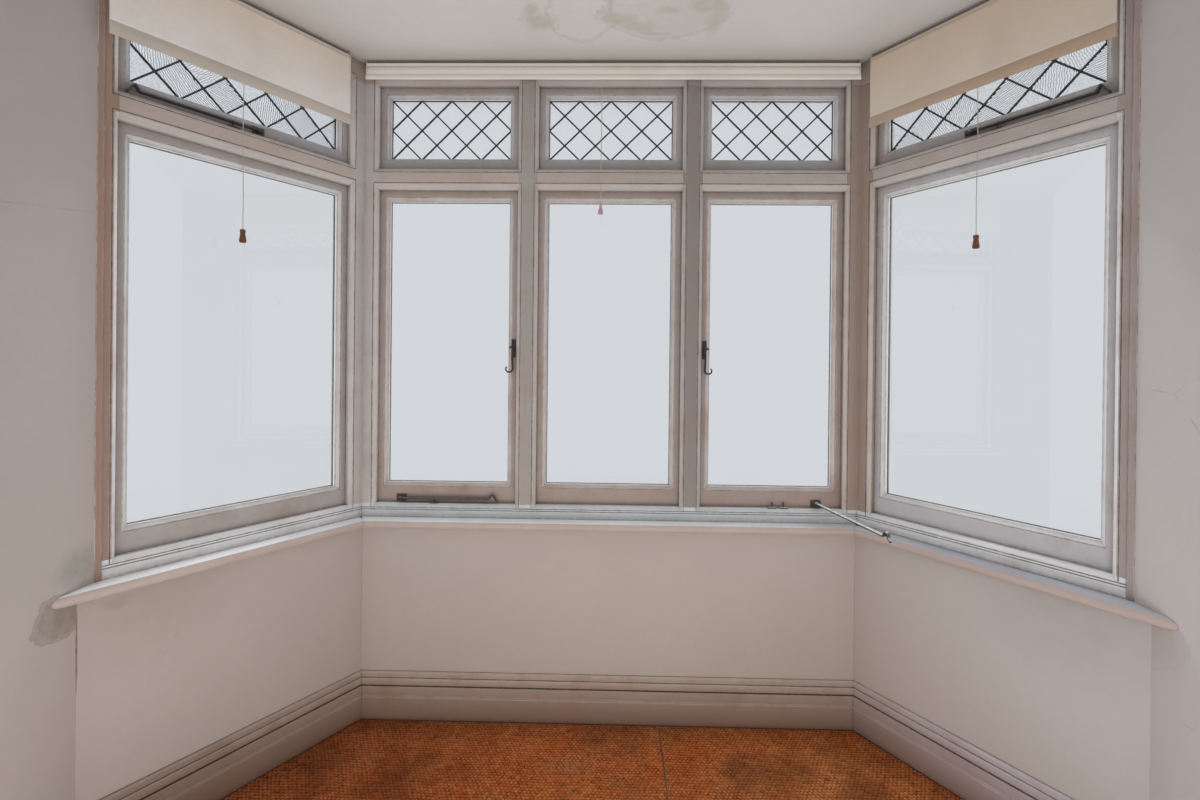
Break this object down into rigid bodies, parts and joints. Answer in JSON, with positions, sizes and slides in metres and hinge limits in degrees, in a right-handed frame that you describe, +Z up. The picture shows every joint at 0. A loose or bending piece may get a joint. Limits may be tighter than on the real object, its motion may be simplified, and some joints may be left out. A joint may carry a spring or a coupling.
{
  "type": "canted bay window",
  "caption": "Canted timber bay window with leaded top lights, on a masonry apron between house wall ends, with window boards, blinds and a lead roof.",
  "frame": {"origin": "centre of the footprint's bounding box, on the ground", "axes": "+X along the house wall, +Y outdoors, +Z up"},
  "size_m": [3.4024, 1.2188, 2.87],
  "materials": {
    "plaster": "painted lime plaster, matt",
    "concrete": "plain concrete",
    "carpet": "woven sisal",
    "painted_timber": "old off-white oil paint, satin",
    "lead_sheet": "weathered lead sheet",
    "stone": "painted stone sill",
    "clear_glass": "clear window glass",
    "textured_glass": "rippled leaded-light glass",
    "lead_came": "blackened lead cames",
    "black_iron": "black painted iron, worn",
    "blind_cloth": "cream roller blind cloth",
    "cord": "braided cord",
    "pull_mauve": "pale mauve moulded pull",
    "pull_wood": "turned brown wood"
  },
  "bodies": {
    "root": {"front_wall": "plaster", "left_wall": "plaster", "right_wall": "plaster", "left_pier": "plaster", "right_pier": "plaster", "lintel": "plaster", "bay_floor": "concrete", "carpet": "carpet", "ceiling": "plaster", "soffits": "painted_timber", "roof_deck": "painted_timber", "fascias": "painted_timber", "lead_roof": "lead_sheet", "lead_flashing": "lead_sheet", "outer_sills": "stone", "window_boards": "painted_timber", "frame_sills": "painted_timber", "left_corner_post": "painted_timber", "right_corner_post": "painted_timber", "jambs": "painted_timber", "mullions": "painted_timber", "front_transoms": "painted_timber", "side_transoms": "painted_timber", "frame_heads": "painted_timber", "left_casement": "painted_timber", "middle_light": "painted_timber", "right_casement": "painted_timber", "left_side_light": "painted_timber", "right_side_light": "painted_timber", "front_top_lights": "painted_timber", "side_top_lights": "painted_timber", "clear_glass": "clear_glass", "leaded_glass": "textured_glass", "leads": "lead_came", "casement_fasteners": "black_iron", "casement_stays": "black_iron", "top_light_stays": "black_iron", "blind_rolls": "blind_cloth", "front_blind": "blind_cloth", "left_blind": "blind_cloth", "right_blind": "blind_cloth", "blind_bars": "blind_cloth", "front_cord": "cord", "left_cord": "cord", "right_cord": "cord", "front_pull": "pull_mauve", "left_pull": "pull_wood", "right_pull": "pull_wood", "skirtings": "painted_timber"}
  },
  "joints": []
}
